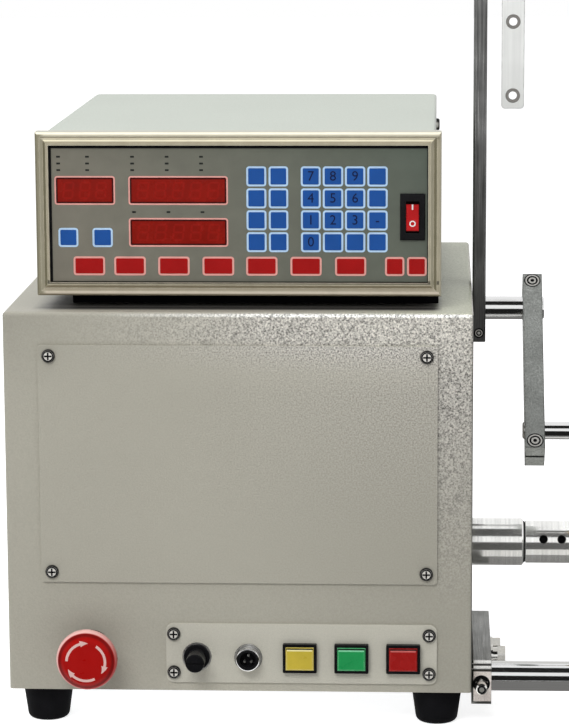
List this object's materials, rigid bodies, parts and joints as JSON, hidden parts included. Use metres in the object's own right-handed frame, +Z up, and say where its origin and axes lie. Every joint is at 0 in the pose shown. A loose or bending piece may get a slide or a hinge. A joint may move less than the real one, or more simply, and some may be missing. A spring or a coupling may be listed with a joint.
{
  "type": "wire coil winding machine",
  "caption": "Bench coil winder: sheet cabinet with control box on top, bored spindle nose, traverse with wire guide and drop arm, and a tailstock on a side rod.",
  "frame": {"origin": "on the bench, under the centre of the whole machine's bounding box", "axes": "+X to the machine's right along the spindle and guide rod, -Y to the front with the controls, +Z up"},
  "size_m": [0.6076, 0.383, 0.5052],
  "materials": {
    "painted_sheet": "hammered grey-beige powder coat",
    "cover_paint": "pale grey-green powder coat",
    "plate_paint": "satin grey-beige",
    "zinc_sheet": "galvanised",
    "black_rubber": "matt",
    "black_plastic": "matt",
    "screw_steel": "bright zinc",
    "chrome": "polished",
    "ground_steel": "ground",
    "dark_steel": "ground, darker",
    "alloy": "milled",
    "bracket_steel": "milled",
    "bezel_plastic": "champagne moulding",
    "panel_film": "grey-green membrane",
    "red_lens": "dark red window",
    "red_plastic": "gloss",
    "yellow_plastic": "gloss",
    "green_plastic": "gloss",
    "circuit": "green laminate",
    "ceramic": "glazed ceramic",
    "brass": "turned",
    "core_steel": "lacquered laminations",
    "belt_rubber": "reinforced rubber"
  },
  "bodies": {
    "cabinet": {"cabinet_shell": "painted_sheet", "base_plate": "zinc_sheet", "back_panel": "painted_sheet", "rubber_feet": "black_rubber", "side_plug": "black_plastic", "access_cover": "painted_sheet", "button_plate": "plate_paint", "panel_screws": "screw_steel", "fuse_holder": "black_plastic", "foot_switch_socket": "chrome", "button_housings": "black_plastic", "estop_housing": "black_plastic", "power_inlet": "black_plastic", "spindle_housing": "chrome", "spindle_bearings": "chrome", "brake_coil": "core_steel", "drive_motor": "core_steel", "drive_belt": "belt_rubber", "mains_transformer": "core_steel", "traverse_bench": "alloy", "rod_bush": "brass", "stepper_motor": "core_steel", "rod_bracket": "bracket_steel", "bracket_bolts": "screw_steel", "guide_rod": "chrome", "box_feet": "black_rubber", "control_tray": "zinc_sheet", "control_cover": "cover_paint", "control_bezel": "bezel_plastic", "keypad_panel": "panel_film", "display_lenses": "red_lens", "digit_modules": "black_plastic", "control_board": "circuit", "rocker_housing": "black_plastic"},
    "spindle": {"spindle_shaft": "chrome", "spindle_pulley": "alloy", "brake_disc": "ground_steel"},
    "motor": {"motor_pulley": "alloy"},
    "lead_screw": {"lead_screw": "ground_steel"},
    "traverse": {"traverse_carriage": "alloy", "traverse_rod": "chrome", "guide_post": "dark_steel", "post_screw": "screw_steel", "upper_rod": "chrome"},
    "eyelet_strip": {"eyelet_plate": "alloy", "eyelets": "ceramic"},
    "drop_arm": {"drop_arm": "alloy", "arm_screws": "screw_steel", "nozzle_rod": "chrome"},
    "nozzle": {"wire_nozzle": "brass"},
    "estop_plunger": {"estop_stem": "black_plastic"},
    "estop_button": {"estop_head": "red_plastic"},
    "reset_button": {"reset_button_cap": "yellow_plastic"},
    "start_button": {"start_button_cap": "green_plastic"},
    "stop_button": {"stop_button_cap": "red_plastic"},
    "rocker": {"power_rocker": "red_plastic"},
    "fuse_knob": {"fuse_cap": "black_plastic"},
    "tailstock": {"tailstock_arm": "alloy"},
    "quill": {"tailstock_quill": "ground_steel"},
    "live_centre": {"live_centre": "ground_steel"}
  },
  "joints": [
    {"name": "spindle_spin", "type": "hinge", "parent": "cabinet", "child": "spindle", "pos_m": [-0.12615, -0.0415, 0.0993], "axis": [1, 0, 0], "continuous": true},
    {"name": "motor_spin", "type": "hinge", "parent": "cabinet", "child": "motor", "pos_m": [-0.12415, 0.0745, 0.075], "axis": [1, 0, 0], "continuous": true},
    {"name": "traverse_slide", "type": "slide", "parent": "cabinet", "child": "traverse", "axis": [1, 0, 0], "range_m": [0, 0.13]},
    {"name": "lead_screw_turn", "type": "hinge", "parent": "cabinet", "child": "lead_screw", "pos_m": [-0.19775, 0.0085, 0.242], "axis": [1, 0, 0], "range_deg": [-4700, 20]},
    {"name": "drop_arm_tilt", "type": "hinge", "parent": "traverse", "child": "drop_arm", "pos_m": [0.04555, -0.0215, 0.2602], "axis": [1, 0, 0], "range_deg": [-40, 15]},
    {"name": "nozzle_slide", "type": "slide", "parent": "drop_arm", "child": "nozzle", "axis": [1, 0, 0], "range_m": [-0.015, 0.06]},
    {"name": "eyelet_strip_swing", "type": "hinge", "parent": "traverse", "child": "eyelet_strip", "pos_m": [0.02305, -0.0215, 0.4912], "axis": [1, 0, 0], "range_deg": [-30, 30]},
    {"name": "estop_press", "type": "slide", "parent": "cabinet", "child": "estop_plunger", "axis": [0, 1, 0], "range_m": [0, 0.0045], "stiffness_N_per_m": 900},
    {"name": "estop_twist", "type": "hinge", "parent": "estop_plunger", "child": "estop_button", "pos_m": [-0.24765, -0.1915, 0.0518], "axis": [0, 1, 0], "range_deg": [0, 45], "stiffness_Nm_per_rad": 0.1},
    {"name": "reset_press", "type": "slide", "parent": "cabinet", "child": "reset_button", "axis": [0, 1, 0], "range_m": [0, 0.0018], "stiffness_N_per_m": 400},
    {"name": "start_press", "type": "slide", "parent": "cabinet", "child": "start_button", "axis": [0, 1, 0], "range_m": [0, 0.0018], "stiffness_N_per_m": 400},
    {"name": "stop_press", "type": "slide", "parent": "cabinet", "child": "stop_button", "axis": [0, 1, 0], "range_m": [0, 0.0018], "stiffness_N_per_m": 400},
    {"name": "power_rocker_tilt", "type": "hinge", "parent": "cabinet", "child": "rocker", "pos_m": [-0.03595, -0.1403, 0.3381], "axis": [-1, 0, 0], "range_deg": [0, 14]},
    {"name": "fuse_cap_turn", "type": "hinge", "parent": "cabinet", "child": "fuse_knob", "pos_m": [-0.17725, -0.163, 0.0485], "axis": [0, -1, 0], "range_deg": [0, 90]},
    {"name": "tailstock_slide", "type": "slide", "parent": "cabinet", "child": "tailstock", "axis": [1, 0, 0], "range_m": [-0.05, 0.055]},
    {"name": "quill_slide", "type": "slide", "parent": "tailstock", "child": "quill", "axis": [-1, 0, 0], "range_m": [0, 0.022]},
    {"name": "live_centre_spin", "type": "hinge", "parent": "quill", "child": "live_centre", "pos_m": [0.19375, -0.0415, 0.0993], "axis": [1, 0, 0], "continuous": true}
  ],
  "couplings": [
    {"joint": "motor_spin", "follows": "spindle_spin", "ratio": 1.4},
    {"joint": "lead_screw_turn", "follows": "traverse_slide", "rad_per_m": -628.32}
  ]
}
